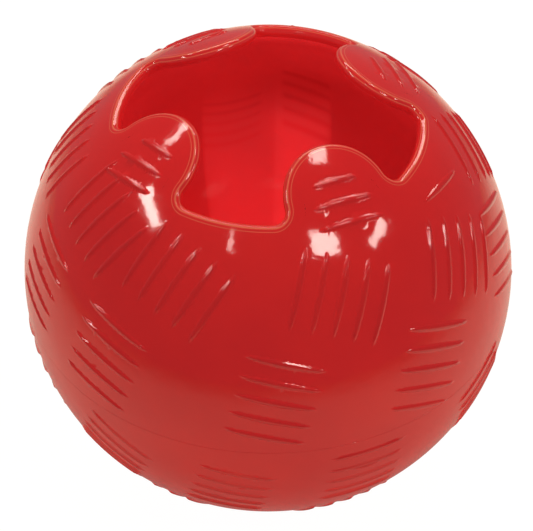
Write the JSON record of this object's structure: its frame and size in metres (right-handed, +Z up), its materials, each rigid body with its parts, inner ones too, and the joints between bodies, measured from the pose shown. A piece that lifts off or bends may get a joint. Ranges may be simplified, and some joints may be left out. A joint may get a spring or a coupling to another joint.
{
  "type": "dog ball",
  "caption": "Hollow rubber dog ball with a wide four-lobed treat mouth and patches of raised ribs.",
  "frame": {"origin": "the lowest point of the ball, straight below the middle of its mouth, where it stands", "axes": "+Z up through the middle of the mouth, +X to the right and -Y to the front, with a notch of the mouth on each and a lobe between each two"},
  "size_m": [0.1001, 0.1002, 0.0963],
  "materials": {
    "red_rubber": "glossy translucent red"
  },
  "bodies": {
    "shell": {"lower_shell": "red_rubber", "upper_shell": "red_rubber"},
    "petal_back_right": {"petal_back_right": "red_rubber"},
    "petal_back_left": {"petal_back_left": "red_rubber"},
    "petal_front_left": {"petal_front_left": "red_rubber"},
    "petal_front_right": {"petal_front_right": "red_rubber"}
  },
  "joints": [
    {"name": "bend_back_right", "type": "hinge", "parent": "shell", "child": "petal_back_right", "pos_m": [0.01697, 0.01697, 0.09145], "axis": [0.7071, -0.7071, 0], "range_deg": [-25, 35], "stiffness_Nm_per_rad": 0.02},
    {"name": "bend_back_left", "type": "hinge", "parent": "shell", "child": "petal_back_left", "pos_m": [-0.01697, 0.01697, 0.09145], "axis": [0.7071, 0.7071, 0], "range_deg": [-25, 35], "stiffness_Nm_per_rad": 0.02},
    {"name": "bend_front_left", "type": "hinge", "parent": "shell", "child": "petal_front_left", "pos_m": [-0.01697, -0.01697, 0.09145], "axis": [-0.7071, 0.7071, 0], "range_deg": [-25, 35], "stiffness_Nm_per_rad": 0.02},
    {"name": "bend_front_right", "type": "hinge", "parent": "shell", "child": "petal_front_right", "pos_m": [0.01697, -0.01697, 0.09145], "axis": [-0.7071, -0.7071, 0], "range_deg": [-25, 35], "stiffness_Nm_per_rad": 0.02}
  ]
}
